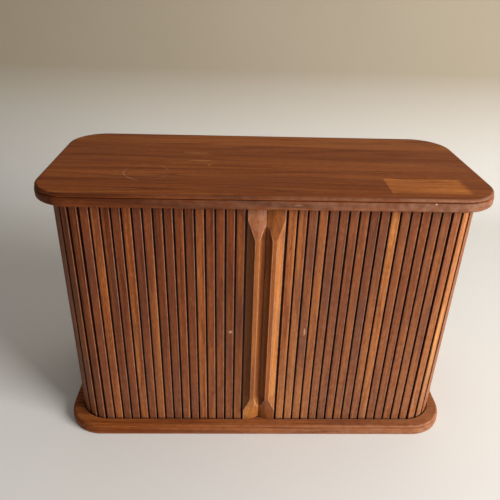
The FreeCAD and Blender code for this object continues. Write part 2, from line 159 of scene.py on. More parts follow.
teak = {
    "dark": colour(0.080, 0.018, 0.004),
    "red": colour(0.220, 0.053, 0.011),
    "tan": colour(0.410, 0.132, 0.028),
    "gold": colour(0.620, 0.265, 0.070),
    "plum": colour(0.110, 0.034, 0.020),
    "pore": colour(0.045, 0.014, 0.007),
    # painted shade, for the quirk, the channels between slats, the coves and the backs
    "hollow": colour(0.040, 0.0070, 0.0018),
    "paleWearAndHighlight": colour(0.640, 0.420, 0.300),
    "straw": colour(0.400, 0.210, 0.080),
    "stops": [(0.0, "dark"), (0.36, "red"), (0.70, "tan"), (1.0, "gold")],
    "lateWood": (0.55, 0.95),  # where the late wood begins in each ring, and where it is darkest
    "clouds": (0.50, 0.72),
    "fibres": (0.30, 0.70),
    "fibreDark": 0.34,
    "pits": (0.62, 0.74),
    "pitDark": 0.42,
    "rubs": (0.35, 0.70),
    "rubScale": 110.0,
    "rubLeast": 0.35,
    "leftEnd": -0.18,  # from here to the right end the painted shade on the edges lifts, and their pale wear and painted highlight grow
    "rightEnd": 0.25,
    "rightPaler": 0.6,
    "apart": (1.7, 2.3, 0.9),  # how far a piece's seed moves its pattern along x, y and z
    "relief": (0.5, 0.8, 0.3),  # of the fibres, the pits and the streaks
    "dulls": (0.2, 0.2, 0.05),  # how much rougher the streaks, the pits and the late wood are
    "bumpStrength": 0.22,
    "bumpDistance": 0.0004,
}

# Noise patterns in the teak: changes a metre over the grain and along it, detail and roughness
patterns = {
    "sway": (9.0, 2.0, 2.0, 0.5),
    "mottle": (520.0, 120.0, 2.0, 0.6),
    "fibres": (1300.0, 30.0, 2.0, 0.6),
    "pores": (2400.0, 100.0, 1.0, 0.5),
    "clouds": (34.0, 8.0, 2.0, 0.5),
}

# The same for patterns that follow the grain's sway. A look's length multiplies the second number, and
# its figure multiplies the first, except for the streaks
swayedPatterns = {
    "figure": (1.0, 1.4, 2.0, 0.5),
    "bands": (1.6, 2.0, 3.0, 0.55),
    "lines": (8.0, 3.0, 3.0, 0.6),
    "streaks": (380.0, 9.0, 5.0, 0.65),
}


class Teak(Finish):
    def __init__(self, name, look):
        super().__init__(name)
        self.look = look
        self.place = self.own()
        seed = self.number("seed")
        apartX, apartY, apartZ = teak["apart"]
        away = self.node("CombineXYZ", X=seed * apartX, Y=seed * apartY, Z=seed * apartZ)
        self.shifted = self.vector("ADD", self.place, away)
        bend = (self.pattern("sway") - 0.5) * look["sway"]
        push = self.node("CombineXYZ", X=bend if look["grain"] == "z" else 0.0, Y=bend, Z=bend * 0.5)
        self.swayed = self.vector("ADD", self.shifted, push)

    def number(self, name):
        return self.node("Attribute", {"attribute_name": name}, out=2)

    def stretched(self, place, cross, run, detail, rough, distort=0.0):
        stretch = {"x": (run, cross, cross), "z": (cross, cross, run)}[self.look["grain"]]
        return self.noise(self.node("Mapping", Vector=place, Scale=stretch), 1.0, detail, rough, distort)

    def pattern(self, name):
        return self.stretched(self.shifted, *patterns[name])

    def swayedPattern(self, name, unit, distort=0.0):
        cross, run, detail, rough = swayedPatterns[name]
        run = run * self.look["length"]
        return self.stretched(self.swayed, cross * unit, run, detail, rough, distort)

    def spot(self, centre, reach, fuzz=0.25, ragged=2.6):
        # an oval patch round a point of the piece, 1 inside and 0 outside, with a torn edge
        far = self.vector("LENGTH", self.vector("DIVIDE", self.vector("SUBTRACT", self.place, centre), reach),
                          out=1)
        torn = self.noise(self.place, ragged / max(reach[0], reach[2]), 4.0, 0.7)
        return 1 - self.steps(far + (torn - 0.5) * ragged, 1 - fuzz, 1 + fuzz)

    def wood(self):
        look = self.look
        figure = self.swayedPattern("figure", look["figure"], distort=0.2)
        rings = (figure * look["rings"]).alone("FRACT")
        begins, darkest = teak["lateWood"]
        late = self.steps(rings, begins, darkest) * (1 - self.steps(rings, darkest, 1.0))
        bands = self.swayedPattern("bands", look["figure"])
        streaks = self.swayedPattern("streaks", 1.0)
        mottle = self.pattern("mottle")
        lines = self.swayedPattern("lines", look["figure"])
        fibres, pores, clouds = self.pattern("fibres"), self.pattern("pores"), self.pattern("clouds")
        across = self.node("SeparateXYZ", Vector=self.place)
        # painted shade on the boards' edges, lifting towards the right
        self.rightward = self.steps(across, teak["leftEnd"], teak["rightEnd"])
        shaded = self.number("shaded") * (1 - teak["rightPaler"] * self.rightward)
        tone = self.number("tone") + look["tone"] - shaded
        depth = (bands - 0.5) * look["bands"] + (streaks - 0.5) * look["streaks"] + tone - late * look["late"]
        depth = depth + (mottle - 0.5) * look["mottle"] + (lines - 0.5) * look["lines"]
        stops = [(place, teak[shade]) for place, shade in teak["stops"]]
        base = self.node("ValToRGB", {"stops": stops}, Fac=depth)
        cool = (1 - self.number("warmth")) * look["cool"]
        base = self.mix(self.steps(clouds, *teak["clouds"]) * look["plum"] + cool, base, teak["plum"])
        between = 1 - self.steps(fibres, *teak["fibres"])
        base = self.mix(teak["fibreDark"] * between, base, teak["pore"])
        pits = self.steps(pores, *teak["pits"])
        base = self.mix(pits * teak["pitDark"], base, teak["pore"])
        fibreHigh, pitDeep, streakHigh = teak["relief"]
        self.height = fibres * fibreHigh + (1 - pits) * pitDeep + streaks * streakHigh
        streakDull, pitDull, lateDull = teak["dulls"]
        self.sheen = look["rough"] + (streaks - 0.5) * streakDull + pits * pitDull + late * lateDull
        return base

    def close(self, base):
        # pale wear with painted highlight, painted light and painted reflection, and painted shade, over the
        # wood, then the shader
        look = self.look
        # pale wear, mixed with painted highlights on edges and arrises, painted light on lit faces and a
        # painted reflection on the handles' hips; towards the left much of it is taken away as painted shade
        patchy = self.steps(self.noise(self.place, teak["rubScale"], 3.0), *teak["rubs"])
        wearAndLight = teak["rubLeast"] + (1 - teak["rubLeast"]) * patchy
        wearAndLight = wearAndLight * (1 - look["leftShade"] * (1 - self.rightward))
        base = self.mix(self.number("wearAndHighlight") * wearAndLight * look["wearAndHighlight"], base, teak["paleWearAndHighlight"])
        # painted shade in the quirk, the channels between the slats, the slats' backs and the handles' coves,
        # steps and backs
        base = self.mix(self.steps(self.number("hollow"), 0.0, 1.0), base, teak["hollow"])
        bump = self.node("Bump", Strength=teak["bumpStrength"], Distance=teak["bumpDistance"],
                         Height=self.height)
        self.set(Base_Color=base, Roughness=self.sheen, Normal=bump)
        self.set(Specular_IOR_Level=look["gloss"])
        return self


def meshPiece(name, points, faces, smoothDegrees=32.0):
    mesh = bpy.data.meshes.new(name)
    mesh.from_pydata([tuple(point) for point in points], [], faces)
    mesh.validate()
    mesh.update()
    soften(mesh, smoothDegrees)
    piece = bpy.data.objects.new(name, mesh)
    bpy.context.scene.collection.objects.link(piece)
    return piece


def soften(mesh, degrees):
    # smooth shading, with an edge kept sharp where its faces turn more than this
    mesh.shade_smooth()
    mesh.set_sharp_from_angle(angle=math.radians(degrees))


def mark(piece, name, values):
    # a value at each point, which the teak's finish reads
    attribute = piece.data.attributes.new(name, "FLOAT", "POINT")
    count = len(piece.data.vertices)
    if np.isscalar(values):
        values = np.full(count, values)
    attribute.data.foreach_set("value", np.asarray(values, np.float32))


def tubeFaces(rows, wide):
    # the faces between rows of points, and one at each end
    faces = []
    for row in range(rows - 1):
        for column in range(wide):
            following = (column + 1) % wide
            faces.append((row * wide + column, row * wide + following,
                          (row + 1) * wide + following, (row + 1) * wide + column))
    faces.append(tuple(range(wide))[::-1])
    faces.append(tuple(range((rows - 1) * wide, rows * wide)))
    return faces


def mend(piece):
    # joins doubled points and turns all faces outwards
    shape = bmesh.new()
    shape.from_mesh(piece.data)
    bmesh.ops.remove_doubles(shape, verts=shape.verts, dist=2e-7)
    bmesh.ops.recalc_face_normals(shape, faces=shape.faces)
    shape.to_mesh(piece.data)
    shape.free()


board = {
    "halfWidth": 0.282475,
    "halfDepth": 0.125,
    "corner": 0.052,
    "cornerSteps": 22,
    "thickness": 0.016,
    "footInset": 0.0030,
    "footEase": 0.0022,  # radius of the lower arris
    "mainRound": 0.0030,  # radius of the edge below the quirk
    "mainRoundHeight": 0.0086,
    "quirk": [(0.0026, 0.01135), (0.0028, 0.01175), (0.0026, 0.01215)],
    "beadCentre": (0.0040, 0.0130),
    "beadRadius": 0.0030,
    "flatInset": 0.0050,
    "edgeHeights": (0.001, 0.0113),  # over the foot, for wear and shade
    "quirkHeights": (0.0113, 0.0122),
    "beadFrom": 0.0132,
    "flatWithin": 0.00005,  # of the upper face
    "smoothDegrees": 25.0,
    "trackOut": 0.007,  # from the canvas line to the groove's outer wall
    "trackBack": 0.001,
    "trackSteps": 20,
    "panelFront": 0.1034,
    "cuspWidth": 0.013,  # where the grooves meet, their outer walls leave a point
    "cuspDepth": 0.0047,
    "warmth": 0.85,
}

# The foot is the board's lower face, and the groove runs from one height to another
boards = {
    "topBoard": {"foot": track["topUnder"], "groove": (track["topUnder"] - 0.002, 0.372), "seed": 3.1,
                 "tone": 0.42, "edgeShaded": 0.30, "flatWorn": 0.0},
    "baseBoard": {"foot": 0.0, "groove": (0.010, 0.018), "seed": 7.4,
                  "tone": 0.53, "edgeShaded": 0.06, "flatWorn": 0.55},
}


def roundedRing(inset):
    # the boards' outline, moved inwards
    wide, deep, turn = (board[name] - inset for name in ("halfWidth", "halfDepth", "corner"))
    ring = []
    for across, up, start in ((1, -1, -90), (1, 1, 0), (-1, 1, 90), (-1, -1, 180)):
        for step in range(board["cornerSteps"] + 1):
            angle = math.radians(start + 90 * step / board["cornerSteps"])
            ring.append((across * (wide - turn) + turn * math.cos(angle),
                         up * (deep - turn) + turn * math.sin(angle)))
    return ring


def edgeArc(centre, radius, start, end, steps):
    # angles are in degrees from straight up, outwards
    angles = [math.radians(start + (end - start) * step / steps) for step in range(steps + 1)]
    return [(centre[0] - radius * math.sin(angle), centre[1] + radius * math.cos(angle))
            for angle in angles]


def edgeProfile():
    # (inset, height) from the foot face, round the main edge and the quirk, to the top of the bead
    ease, main = board["footEase"], board["mainRound"]
    profile = [(board["footInset"], 0.0)]
    profile += edgeArc((ease, ease), ease, 180, 90, 5)
    profile += edgeArc((main, board["mainRoundHeight"]), main, 90, 30, 5)
    profile += board["quirk"]
    profile += edgeArc(board["beadCentre"], board["beadRadius"], 100, 0, 8)
    profile += [(board["flatInset"], board["thickness"])]
    return profile


def trackBend(reach, start, end):
    # a quarter turn round the bend's centre
    x, y = track["bendStart"], track["canvasLine"] + track["bendRadius"]
    angles = [math.radians(start + (end - start) * step / board["trackSteps"])
              for step in range(board["trackSteps"] + 1)]
    return [(x + reach * math.cos(angle), y + reach * math.sin(angle)) for angle in angles]


def trackPlan(side):
    # the groove's outline on one side, from its back end round to the centre line and back
    outer = track["bendRadius"] + board["trackOut"]
    inner = track["bendRadius"] - board["trackBack"]
    front = track["canvasLine"] - board["trackOut"]
    plan = [(track["bendStart"] + outer, board["panelFront"])]
    plan += trackBend(outer, 0, -90)
    plan += [(board["cuspWidth"], front), (0.0, front + board["cuspDepth"])]
    plan += [(0.0, track["canvasLine"] + board["trackBack"])]
    plan += trackBend(inner, -90, 0)
    plan += [(track["bendStart"] + inner, board["panelFront"])]
    return [(side * x, y) for x, y in plan]


def prism(name, plan, low, high):
    points = [(x, y, height) for height in (low, high) for x, y in plan]
    piece = meshPiece(name, points, tubeFaces(2, len(plan)))
    mend(piece)
    return piece


def carve(piece, cutter):
    modifier = piece.modifiers.new("carve", "BOOLEAN")
    modifier.operation = "DIFFERENCE"
    modifier.solver = "EXACT"
    modifier.object = cutter
    bpy.context.view_layer.update()
    carved = piece.evaluated_get(bpy.context.evaluated_depsgraph_get())
    shaped = bpy.data.meshes.new_from_object(carved)
    piece.modifiers.clear()
    piece.data = shaped
    bpy.data.objects.remove(cutter)


def markBoard(piece, own):
    # painted shade in the quirk and on the edges, pale wear with painted highlight on the bead and the edge,
    # and pale wear on the base board's flat
    heights = np.array([vertex.co.z - own["foot"] for vertex in piece.data.vertices])
    flat = heights > board["thickness"] - board["flatWithin"]
    edge, quirk = ((heights > board[name][0]) & (heights < board[name][1])
                   for name in ("edgeHeights", "quirkHeights"))
    bead = (heights > board["beadFrom"]) & ~flat
    mark(piece, "hollow", np.where(quirk, 1.0, 0.0))
    mark(piece, "wearAndHighlight", np.where(bead | edge, 1.0, np.where(flat, own["flatWorn"], 0.0)))
    mark(piece, "shaded", np.where(bead | edge, own["edgeShaded"], 0.0))
    mark(piece, "seed", own["seed"])
    mark(piece, "tone", own["tone"])
    mark(piece, "warmth", board["warmth"])


def makeBoard(name, node):
    own = boards[name]
    rings = [[(x, y, own["foot"] + height) for x, y in roundedRing(inset)]
             for inset, height in edgeProfile()]
    points = [point for ring in rings for point in ring]
    piece = meshPiece(name, points, tubeFaces(len(rings), len(rings[0])), board["smoothDegrees"])
    for side in (1, -1):
        carve(piece, prism(name + "Groove", trackPlan(side), *own["groove"]))
    soften(piece.data, board["smoothDegrees"])
    markBoard(piece, own)
    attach(piece, "carcass")
    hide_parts(node)
    return piece


topBoard = makeBoard("topBoard", "top_board")
baseBoard = makeBoard("baseBoard", "base_board")
print("boards made")

slat = {
    "thickness": 0.0055,
    "face": 0.0099,
    "lip": 0.0019,
    "gap": 0.0002,
    "round": 0.0008,
    "roundSteps": 4,
    "cheek": [(0.0, 1.0), (0.0012, 0.92), (0.0021, 0.50)],  # height over the lip, and how much painted shade
    # painted shade on the slat's back
    "backShade": 0.6,
    "arrisWidth": 0.0007,  # the pale strip beside each arris, wear with painted highlight
    "arrisDepth": 0.0005,
    "wobble": 0.00012,  # how far the face bows to one side
    "waveShare": 0.4,  # of that, how much goes in waves
    "waves": 9.0,
    "rows": 15,
    # painted light on the right door's slat faces, then a pale mix that grows towards the foot, then painted
    # light that makes each slat paler at the foot and darker at the head
    "faceLit": {"right": 0.15, "left": 0.0},
    "footPaling": 0.30,
    "footPaler": 0.16,
    "seed": {"right": 589280, "left": 64590},
    "tones": (0.24, 0.74, 0.47),  # darkest, palest and usual
    # painted shade on the left door's slats
    "darker": {"right": 0.0, "left": 0.09},
    "cornerPale": (18, 19),  # these slats of the right door, where the light grazes them round the corner, get painted light
    "cornerLift": 0.15,
    "smoothDegrees": 40.0,
}


def slatTilt(number):
    past = track["firstSlat"] + (number - 0.5) * track["pitch"] - track["bendStart"]
    return min(max(past / track["bendRadius"], 0.0), math.pi / 2)


def slatPlaces():
    # each slat's middle on the canvas line, and its turn, for the right door
    x, y = track["firstSlat"], track["canvasLine"]
    places = []
    for number in range(1, track["leadSlats"] + track["middleSlats"] + 2 * track["bendSlats"] + 1):
        tilt = slatTilt(number)
        stepX, stepY = track["pitch"] * math.cos(tilt), track["pitch"] * math.sin(tilt)
        places.append((x + stepX / 2, y + stepY / 2, tilt))
        x, y = x + stepX, y + stepY
    return places


def slatBody(word, number):
    # the body that a slat rides on, and the node that it stands for
    lead, bend, middle = track["leadSlats"], track["bendSlats"], track["middleSlats"]
    if number <= lead:
        return word + "_door", word + "_lead_slats"
    if lead + bend < number <= lead + bend + middle:
        return word + "_curtain_middle", word + "_middle_slats"
    return "%s_curtain_%02d" % (word, number), "%s_slat_%02d" % (word, number)


def slatProfile():
    # (across, forward, how much painted shade) round the slat, anticlockwise seen from above
    half, face = (track["pitch"] - slat["gap"]) / 2, slat["face"] / 2
    thick, turn = slat["thickness"], slat["round"]
    right = [(half, 0.0, slat["backShade"]), (half, slat["lip"], 1.0)]
    right += [(face, slat["lip"] + height, dark) for height, dark in slat["cheek"]]
    for step in range(slat["roundSteps"] + 1):
        angle = math.radians(90 * step / slat["roundSteps"])
        right.append((face - turn + turn * math.cos(angle), thick - turn + turn * math.sin(angle), 0.0))
    crown = [(face * share, thick, 0.0) for share in (0.5, 0.0)]
    left = [(-x, y, dark) for x, y, dark in reversed(right + crown[:1])]
    return right + crown + left


def makeSlat(word, side, number, place, tones):
    chance = random.Random(number * 17 + (5 if side > 0 else 11))
    profile = slatProfile()
    x0, y0, tilt = place
    points, hollow, wearAndHighlight, tone = [], [], [], []
    wobble = slat["wobble"]
    bow = chance.uniform(-1, 1) * wobble
    phase = chance.uniform(0, 6.28)
    for row in range(slat["rows"]):
        share = row / (slat["rows"] - 1)
        height = track["foot"] + share * (track["head"] - track["foot"])
        drift = bow * math.sin(math.pi * share)
        drift += slat["waveShare"] * wobble * math.sin(phase + slat["waves"] * share)
        for across, forward, dark in profile:
            moved = across + (drift if forward > slat["lip"] else 0.0)  # the lips stay straight
            x = x0 + moved * math.cos(tilt) + forward * math.sin(tilt)
            y = y0 + moved * math.sin(tilt) - forward * math.cos(tilt)
            points.append((side * x, y, height))
            hollow.append(dark)
            # pale wear with painted highlight on the arrises; painted light on the faces, paler towards the
            # foot
            arris = (abs(across) > slat["face"] / 2 - slat["arrisWidth"]
                     and forward > slat["thickness"] - slat["arrisDepth"])
            faceLit = slat["faceLit"][word] + slat["footPaling"] * (1 - share) ** 2
            wearAndHighlight.append(1.0 if arris else faceLit)
            tone.append(tones[0] + slat["footPaler"] * (0.5 - share))
    name = "slat%s%02d" % (word.capitalize(), number)
    piece = meshPiece(name, points, tubeFaces(slat["rows"], len(profile)), slat["smoothDegrees"])
    mend(piece)
    mark(piece, "hollow", hollow)
    mark(piece, "wearAndHighlight", wearAndHighlight)
    mark(piece, "seed", chance.uniform(0, 9))
    mark(piece, "tone", tone)
    mark(piece, "warmth", tones[1])
    body, node = slatBody(word, number)
    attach(piece, body)
    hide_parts(node)
    return piece


slatPieces = []
for side, word in ((1, "right"), (-1, "left")):
    pick = random.Random(slat["seed"][word])
    for number, place in enumerate(slatPlaces(), start=1):
        tones = (pick.triangular(*slat["tones"]) - slat["darker"][word], pick.uniform(0.0, 1.0))
        # painted light on the right door's corner slats
        if side > 0 and number in slat["cornerPale"]:
            tones = (tones[0] + slat["cornerLift"], 1.0)
        slatPieces.append(makeSlat(word, side, number, place, tones))
print("slats made:", len(slatPieces))

handle = {
    "inner": 0.0003,
    "outer": 0.0248,
    "face": -0.1085,  # level with the slats' faces
    "back": -0.0970,
    "shoulder": 0.0004,
    "relief": 0.0040,  # the tongues are cut back this far from the centre line
    "lap": 0.0175,  # from here outwards the canvas lies behind the handle
    "outerFoot": 0.0022,
    "backEase": (0.0004, 0.0006),
    "swell": 0.0087,
    "hip": 0.0445,
    "ridgeInset": 0.0070,
    "cuspCurve": 1.5,
    "outerCove": 0.0110,
    "outerTaper": 0.0308,
    "innerSink": 0.0020,
    "innerTaper": 0.0265,
    "rebate": 0.0234,  # a step beside slat 1, as wide as the gaps between the slats
    "rebateDeep": 0.0034,
    "rebateLit": 0.0003,  # the step's first strip, which gets no painted shade; past it the step is painted dark
    "across": 72,  # points over the width and the height
    "upright": 560,
    "smoothDegrees": 38.0,
    "hipBlend": 0.006,
    "coveBlend": 0.002,
    "outerCoveFrom": 0.013,
    "innerCoveTo": 0.009,
    "arrisReach": 3,  # how many points away an arris's neighbours are taken
    "arrisHeight": 0.00012,
    "arrisLeast": 0.6,
}

# Each stile's own wood: how pale the ridge, the painted light and shade on the hips at head and foot and
# the painted light on the outer cove, the painted reflection on the hips and more painted light on the outer
# cove, and the painted shade in the outer and the inner cove
stiles = {
    "right": {"tone": 0.66, "hipPaler": (-0.08, -0.20), "covePaler": 0.16, "hipReflection": (0.0, 0.1),
              "coveLit": 0.12, "coveShade": (0.0, 0.40), "seed": 2.6, "warmth": 0.9},
    "left": {"tone": 0.58, "hipPaler": (-0.15, 0.22), "covePaler": 0.0, "hipReflection": (0.4, 0.0),
             "coveLit": 0.0, "coveShade": (0.34, 0.10), "seed": 5.2, "warmth": 0.7},
}


def handleFront():
    # how far the front stands before the slats' faces, over the handle's width and height
    across = np.linspace(handle["inner"], handle["outer"], handle["across"])
    upright = np.linspace(track["foot"], track["head"], handle["upright"])
    x, z = np.meshgrid(across, upright)
    toEnd = np.minimum(z - track["baseTop"], track["topUnder"] - z)
    run = np.clip(toEnd / handle["hip"], 0, 1)
    swell = handle["swell"] * run
    cuspWide = board["cuspWidth"] + (handle["ridgeInset"] - board["cuspWidth"]) * run
    cuspDeep = board["cuspDepth"] * cuspWide / board["cuspWidth"]
    surface = swell - cuspDeep * np.clip(1 - x / cuspWide, 0, 1) ** handle["cuspCurve"]
    past = np.clip(handle["hip"] - toEnd, 0, None)
    reach = handle["outerCove"] * np.clip(1 - past / handle["outerTaper"], 0, 1)
    offset = np.abs(x - track["firstSlat"])
    cove = swell - np.sqrt(np.clip(reach**2 - offset**2, 0, None))
    front = np.where(offset < reach, np.minimum(surface, cove), surface)
    share = np.clip(1 - past / handle["innerTaper"], 0, 1)
    reach = math.hypot(handle["ridgeInset"], handle["innerSink"]) * share
    cove = swell - handle["innerSink"] * share - np.sqrt(np.clip(reach**2 - x**2, 0, None))
    front = np.where(x < reach, np.minimum(front, cove), front)
    front = np.where(x > handle["rebate"], np.minimum(front, -handle["rebateDeep"]), front)
    padded = np.pad(front, 1, mode="edge")
    front = (padded[1:-1, 1:-1] * 2 + padded[:-2, 1:-1] + padded[2:, 1:-1]
             + padded[1:-1, :-2] + padded[1:-1, 2:]) / 6
    sunk = np.clip((surface - front) / handle["coveBlend"], 0, 1)
    outerCove = sunk * (x > handle["outerCoveFrom"]) * (x < handle["rebate"])
    innerCove = sunk * (x < handle["innerCoveTo"])
    return across, upright, front, wornAndLitArrises(front), outerCove, innerCove


def wornAndLitArrises(front):
    # 1 where the front stands over the points around it: pale wear with painted highlight on the arrises
    far = handle["arrisReach"]
    padded = np.pad(front, far, mode="edge")
    rows, columns = front.shape
    around = sum(padded[far + a:far + a + rows, far + b:far + b + columns]
                 for a, b in ((0, far), (0, -far), (far, 0), (-far, 0))) / 4
    return np.clip((front - around) / handle["arrisHeight"] - handle["arrisLeast"], 0, 1)


def blend(past):
    # 0 to 1 as a height comes to a hip
    return min(max((past + handle["hipBlend"] / 2) / handle["hipBlend"], 0.0), 1.0)


def makeHandle(word, side):
    own = stiles[word]
    across, upright, front, wearAndLight, outerCove, innerCove = handleFront()
    shadeOuter, shadeInner = own["coveShade"]
    line, lap = track["canvasLine"], handle["lap"]
    easeX, easeY = handle["backEase"]
    points, hollow, wearAndHighlight, tone = [], [], [], []
    for row, height in enumerate(upright):
        headHip = blend(height - track["topUnder"] + handle["hip"])
        footHip = blend(track["baseTop"] + handle["hip"] - height)
        # painted reflection on the hips, and painted light and shade on them
        reflectionHere = own["hipReflection"][0] * headHip + own["hipReflection"][1] * footHip
        toneHere = own["tone"] + own["hipPaler"][0] * headHip + own["hipPaler"][1] * footHip
        low, high = track["baseTop"] + handle["shoulder"], track["topUnder"] - handle["shoulder"]
        tongue = height < low or height > high
        inner = handle["relief"] if tongue else handle["inner"]
        back = line if tongue else handle["back"]
        for column, x in enumerate(across):
            outside, inside = outerCove[row, column], innerCove[row, column]
            # painted shade on the step and in the coves; pale wear with painted highlight on the arrises;
            # painted reflection on the hips and painted light on the outer cove
            stepped = x > handle["rebate"] + handle["rebateLit"]
            points.append((side * max(x, inner), handle["face"] - front[row, column], height))
            hollow.append(1.0 if stepped else shadeOuter * outside + shadeInner * inside)
            litFace = reflectionHere * (1 - max(outside, inside)) + own["coveLit"] * outside
            wearAndHighlight.append(0.0 if stepped else wearAndLight[row, column] + litFace)
            tone.append(toneHere + own["covePaler"] * outside)
        for x, y in ((handle["outer"], line - handle["outerFoot"]), (handle["outer"], line), (lap, line),
                     (lap, back), (inner + easeX, back), (inner, back - easeY)):
            points.append((side * x, y, height))
            # painted shade on the back and the outer side
            hollow.append(0.5)
            wearAndHighlight.append(0.0)
            tone.append(toneHere)
    wide = len(points) // len(upright)
    name = "handle" + word.capitalize()
    piece = meshPiece(name, points, tubeFaces(len(upright), wide), handle["smoothDegrees"])
    mark(piece, "hollow", hollow)
    mark(piece, "wearAndHighlight", wearAndHighlight)
    mark(piece, "seed", own["seed"])
    mark(piece, "tone", tone)
    mark(piece, "warmth", own["warmth"])
    mend(piece)
    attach(piece, word + "_door")
    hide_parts(word + "_handle")
    return piece


handles = [makeHandle("right", 1), makeHandle("left", -1)]
print("handles made")

# How each kind of piece shows the teak: which way its grain runs, the scale of its figure, and how
# strong each effect is, down to how much pale wear and painted highlight is taken away at the left as painted
# shade
commonLook = {"length": 1.0, "plum": 0.30, "cool": 0.28, "tone": 0.0, "wearAndHighlight": 0.34, "mottle": 0.34,
              "leftShade": 0.0}
panelLook = {**commonLook, "bands": 0.60, "streaks": 0.50, "lines": 0.10, "late": 0.14, "rough": 0.52,
             "tone": 0.45, "cool": 0.04, "wearAndHighlight": 0.0, "gloss": 0.18}
looks = {
    "board": {**commonLook, "grain": "x", "sway": 0.030, "length": 0.5, "figure": 15.0, "rings": 17.0,
              "bands": 0.50, "streaks": 0.50, "lines": 0.30, "late": 0.20, "rough": 0.44, "wearAndHighlight": 0.24,
              "gloss": 0.05, "leftShade": 0.95},
    "slat": {**commonLook, "grain": "z", "sway": 0.008, "figure": 34.0, "rings": 9.0, "bands": 0.85,
             "streaks": 0.75, "lines": 0.40, "mottle": 0.60, "late": 0.20, "plum": 0.50, "rough": 0.42,
             "gloss": 0.10, "leftShade": 0.2},
    "handle": {**commonLook, "grain": "z", "sway": 0.006, "figure": 30.0, "rings": 10.0, "bands": 0.65,
               "streaks": 0.55, "lines": 0.20, "late": 0.10, "plum": 0.25, "rough": 0.38, "gloss": 0.15},
    "back": {**panelLook, "grain": "x", "sway": 0.030, "length": 0.6, "figure": 11.0, "rings": 13.0},
    "side": {**panelLook, "grain": "z", "sway": 0.020, "length": 0.7, "figure": 12.0, "rings": 12.0},
}

# Marks of age: a pale patch that something once covered, a cup's ring, dark flecks, pale strokes and
# scuffs; besides them a painted highlight near the top board's right corner and painted shade at the slats'
# feet.
# Each spot has its centre and its reach along x, y and z
marks = {
    "topFace": (0.3790, 0.3796),
    "patchLow": (0.1490, -0.1050),
    "patchHigh": (0.2470, -0.0570),
    "patchEdgeX": 0.0006,
    "patchEdgeY": 0.0008,
    "patchFade": (0.006, 0.002),
    "patchTint": colour(1.95, 2.40, 2.20),
    "patchStrength": 0.95,
    "waver": 0.0014,
    "waverScale": 90.0,
    "ringCentre": (-0.1520, -0.0470, 0.380),
    "ringRadius": 0.0280,
    "ringEdge": (0.0004, 0.0013),
    "ringBreaks": (0.35, 0.65),
    "ringBreakScale": 45.0,
    "ringStrength": 0.22,
    "fleckStrength": 0.7,
    "flecks": [
        ((0.1495, -0.0290, 0.380), (0.0060, 0.0012, 0.004)),
        ((0.1760, -0.0330, 0.380), (0.0070, 0.0011, 0.004)),
    ],
    "paleStrokes": [
        ((-0.0940, 0.0340, 0.380), (0.0170, 0.0026, 0.004), "straw", 0.34),
        ((-0.0850, 0.0010, 0.380), (0.0150, 0.0024, 0.004), "straw", 0.44),
        ((-0.0735, -0.0155, 0.380), (0.0024, 0.0017, 0.004), "straw", 0.80),
        # a painted highlight on the top board's front edge, near its right corner
        ((0.1963, -0.1250, 0.3745), (0.0013, 0.0060, 0.0010), "paleWearAndHighlight", 0.60),
        ((0.0350, -0.1250, 0.3710), (0.0050, 0.0060, 0.0014), "paleWearAndHighlight", 0.12),
    ],
    "slatScuffStrength": 0.5,
    "slatScuffs": [
        ((-0.0425, -0.1085, 0.1760), (0.0020, 0.002, 0.0022)),
        ((0.0580, -0.1085, 0.1770), (0.0010, 0.002, 0.0060)),
    ],
    "footShade": (0.0164, 0.0176),  # painted shade on the slats' feet, where the groove keeps them in shade
    "footShadeStrength": 0.9,
}


def patchMask(finish, x, y, onTop):
    (left, front), (right, rear) = marks["patchLow"], marks["patchHigh"]
    edgeX, edgeY = marks["patchEdgeX"], marks["patchEdgeY"]
    before, after = marks["patchFade"]
    waver = (finish.noise(finish.place, marks["waverScale"], 2.0) - 0.5) * marks["waver"]
    patch = finish.steps(x + waver, left - edgeX, left + edgeX)
    patch = patch * (1 - finish.steps(x + waver, right - before, right + after))
    patch = patch * finish.steps(y + waver, front - edgeY, front + edgeY)
    return patch * (1 - finish.steps(y + waver, rear - edgeY, rear + edgeY)) * onTop


def ringMask(finish, onTop):
    away = finish.vector("DISTANCE", finish.place, marks["ringCentre"], out=1)
    off = (away - marks["ringRadius"]).alone("ABSOLUTE")
    broken = finish.steps(finish.noise(finish.place, marks["ringBreakScale"], 2.0), *marks["ringBreaks"])
    return (1 - finish.steps(off, *marks["ringEdge"])) * broken * onTop


def topTeak():
    finish = Teak("topTeak", looks["board"])
    base = finish.wood()
    parts = finish.node("SeparateXYZ", Vector=finish.place).socket.node.outputs
    x, y, z = (Wire(part) for part in parts)
    onTop = finish.steps(z, *marks["topFace"])
    pale = finish.mix(1.0, base, marks["patchTint"], "MULTIPLY")
    base = finish.mix(patchMask(finish, x, y, onTop) * marks["patchStrength"], base, pale)
    base = finish.mix(ringMask(finish, onTop) * marks["ringStrength"], base, teak["paleWearAndHighlight"])
    for centre, reach in marks["flecks"]:
        base = finish.mix(finish.spot(centre, reach) * marks["fleckStrength"], base, teak["dark"])
    # pale strokes and scuffs, and one painted highlight
    for centre, reach, shade, strength in marks["paleStrokes"]:
        base = finish.mix(finish.spot(centre, reach) * strength, base, teak[shade])
    return finish.close(base)


def slatTeak():
    finish = Teak("slatTeak", looks["slat"])
    base = finish.wood()
    for centre, reach in marks["slatScuffs"]:
        base = finish.mix(finish.spot(centre, reach) * marks["slatScuffStrength"], base, teak["paleWearAndHighlight"])
    # painted shade at the slats' feet
    height = finish.node("SeparateXYZ", out=2, Vector=finish.place)
    foot = 1 - finish.steps(height, *marks["footShade"])
    base = finish.mix(foot * marks["footShadeStrength"], base, teak["hollow"])
    return finish.close(base)


def plainTeak(name, look):
    finish = Teak(name, looks[look])
    return finish.close(finish.wood())


